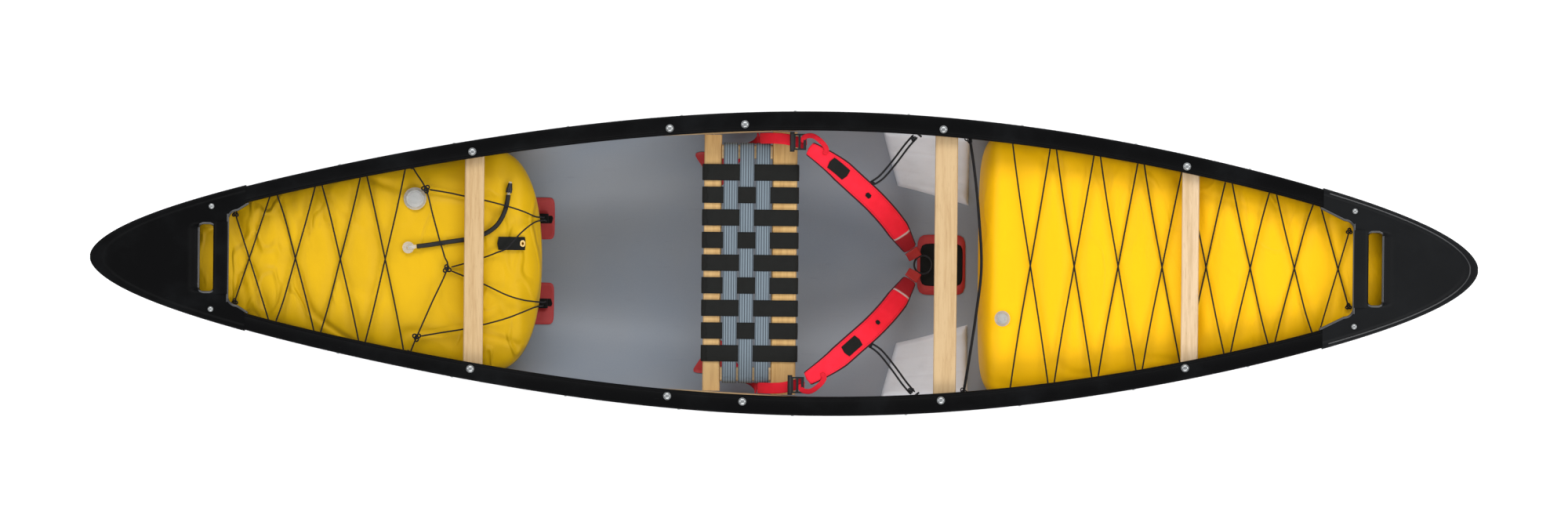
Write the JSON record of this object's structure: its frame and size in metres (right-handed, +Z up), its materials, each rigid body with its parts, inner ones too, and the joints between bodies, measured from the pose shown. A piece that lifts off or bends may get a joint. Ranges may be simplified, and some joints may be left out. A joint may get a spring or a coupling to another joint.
{
  "type": "open whitewater solo canoe",
  "caption": "Open solo whitewater canoe with a woven bench seat, thigh straps, knee pads, wooden thwarts, laced-in air bags and carry-handle decks.",
  "frame": {"origin": "centre of the bounding box, on the plane the hull stands on", "axes": "+X towards the bow along the length, +Y to port, +Z up"},
  "size_m": [3.522, 0.7816, 0.5394],
  "materials": {
    "hull_laminate": "smooth satin",
    "black_vinyl": "satin, slightly worn",
    "steel": "polished",
    "ash": "varnished, fine straight grain",
    "black_webbing": "woven",
    "grey_webbing": "woven, with darker lengthwise stripes",
    "pad_foam": "closed foam, matte",
    "red_fabric": "coated cloth, satin",
    "black_plastic": "moulded",
    "black_cord": "braided",
    "stern_bag_skin": "coated cloth, wrinkled, glossy",
    "bow_bag_skin": "coated cloth, taut, glossy",
    "clear_plastic": "translucent moulding",
    "hose_rubber": "smooth",
    "brass": "bright"
  },
  "bodies": {
    "canoe": {"boat_hull": "hull_laminate", "port_gunwale": "black_vinyl", "starboard_gunwale": "black_vinyl", "bow_deck": "black_vinyl", "stern_deck": "black_vinyl", "deck_screws": "steel", "gunwale_rivets": "steel", "stern_thwart": "ash", "centre_thwart": "ash", "bow_thwart": "ash", "thwart_bolts": "steel", "thwart_nuts": "steel", "port_seat_truss": "ash", "starboard_seat_truss": "ash", "seat_bolts": "steel", "seat_nuts": "steel", "seat_rear_rail": "ash", "seat_front_rail": "ash", "port_seat_crossbar": "ash", "starboard_seat_crossbar": "ash", "seat_rail_screws": "steel", "seat_fore_aft_straps": "black_webbing", "seat_athwart_straps": "grey_webbing", "port_knee_pad": "pad_foam", "starboard_knee_pad": "pad_foam", "port_thigh_pad": "red_fabric", "starboard_thigh_pad": "red_fabric", "port_strap_tail": "black_webbing", "starboard_strap_tail": "black_webbing", "port_buckle_pin": "black_plastic", "starboard_buckle_pin": "black_plastic", "port_side_anchor": "red_fabric", "starboard_side_anchor": "red_fabric", "centre_anchor_pad": "red_fabric", "centre_ring": "black_plastic", "ring_keepers": "red_fabric", "port_bungee": "black_cord", "starboard_bungee": "black_cord", "bungee_hooks": "black_plastic", "stern_airbag": "stern_bag_skin", "bow_airbag": "bow_bag_skin", "stern_valve_body": "clear_plastic", "bow_valve_body": "clear_plastic", "inflation_hose": "hose_rubber", "hose_flange": "clear_plastic", "mouthpiece_stem": "clear_plastic", "grommet_tab": "black_webbing", "tab_grommet": "brass", "stern_lacing": "black_cord", "bow_lacing": "black_cord", "stern_restraint_cord": "black_cord", "bow_restraint_cord": "black_cord", "floor_anchor_patches": "red_fabric", "floor_anchor_loops": "black_webbing"},
    "stern_cap": {"stern_valve_cap": "clear_plastic"},
    "bow_cap": {"bow_valve_cap": "clear_plastic"},
    "mouthpiece": {"hose_mouthpiece": "hose_rubber"},
    "port_buckle": {"port_strap_buckle": "black_plastic"},
    "starboard_buckle": {"starboard_strap_buckle": "black_plastic"}
  },
  "joints": [
    {"name": "stern_cap_turn", "type": "hinge", "parent": "canoe", "child": "stern_cap", "pos_m": [-0.945, 0.156, 0.34798], "axis": [0.08, 0.0719, 0.9942], "range_deg": [0, 90]},
    {"name": "bow_cap_turn", "type": "hinge", "parent": "canoe", "child": "bow_cap", "pos_m": [0.56, -0.136, 0.324], "axis": [-0.1495, -0.014, 0.9887], "range_deg": [0, 90]},
    {"name": "mouthpiece_turn", "type": "hinge", "parent": "canoe", "child": "mouthpiece", "pos_m": [-0.707, 0.168, 0.32871], "axis": [0.1476, 0.9837, -0.1024], "range_deg": [0, 180]},
    {"name": "port_buckle_tip", "type": "hinge", "parent": "canoe", "child": "port_buckle", "pos_m": [0.018, 0.31094, 0.351], "axis": [0, -1, 0], "range_deg": [0, 35]},
    {"name": "starboard_buckle_tip", "type": "hinge", "parent": "canoe", "child": "starboard_buckle", "pos_m": [0.018, -0.31094, 0.351], "axis": [0, -1, 0], "range_deg": [0, 35]}
  ]
}
